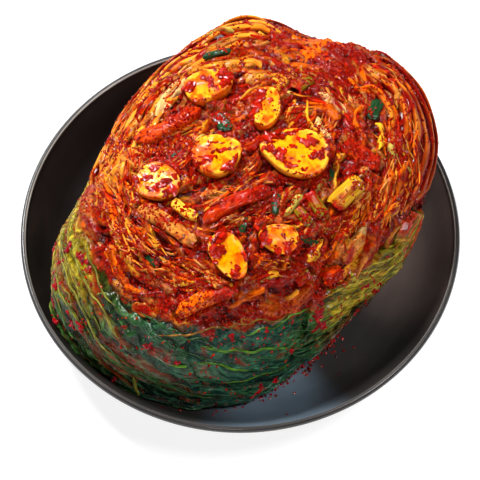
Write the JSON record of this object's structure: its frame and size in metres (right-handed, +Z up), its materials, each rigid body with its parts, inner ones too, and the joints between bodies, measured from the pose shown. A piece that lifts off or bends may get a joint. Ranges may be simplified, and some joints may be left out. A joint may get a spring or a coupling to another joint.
{
  "type": "cabbage kimchi in a dish",
  "caption": "Folded whole-leaf cabbage kimchi, red with chilli paste above and wrapped in green leaf ends below, filling a shallow round stoneware dish.",
  "frame": {"origin": "centre of the dish's foot, on the surface it stands on", "axes": "+Z up, -Y towards the front where the green leaf ends show, +X to the right seen from the front"},
  "size_m": [0.21, 0.21, 0.0986],
  "materials": {
    "dark_glaze": "satin brown-black stoneware glaze",
    "chilli_cabbage": "wet red chilli paste over orange cabbage",
    "red_leaf": "wet red-stained leaf",
    "green_leaf": "wet green leaf with pale veins",
    "garlic": "wet yellow garlic with red specks",
    "radish": "wet orange-red radish",
    "pale_stem": "wet yellow-green stem",
    "scallion_green": "wet dark green scallion leaf"
  },
  "bodies": {
    "root": {"dish": "dark_glaze", "cabbage_head": "chilli_cabbage", "leaf_left": "green_leaf", "leaf_front_left": "green_leaf", "leaf_front": "green_leaf", "leaf_front_right": "green_leaf", "leaf_under": "green_leaf", "leaf_right": "green_leaf", "leaf_flap": "red_leaf", "garlic_1": "garlic", "garlic_2": "garlic", "garlic_3": "garlic", "garlic_4": "garlic", "garlic_5": "garlic", "garlic_6": "garlic", "garlic_7": "garlic", "radish_stick_1": "radish", "radish_stick_2": "radish", "radish_stick_3": "radish", "radish_stick_4": "radish", "radish_stick_5": "radish", "radish_stick_6": "radish", "radish_stick_7": "radish", "pale_stick": "pale_stem", "stem_chunk_1": "pale_stem", "stem_chunk_2": "pale_stem", "stem_chunk_3": "pale_stem", "stem_chunk_4": "pale_stem", "stem_chunk_5": "pale_stem", "scallion_1": "scallion_green", "scallion_2": "scallion_green", "scallion_3": "scallion_green", "scallion_4": "scallion_green", "scallion_5": "scallion_green", "scallion_6": "scallion_green", "scallion_7": "scallion_green", "scallion_8": "scallion_green", "scallion_9": "scallion_green", "scallion_10": "scallion_green"}
  },
  "joints": []
}
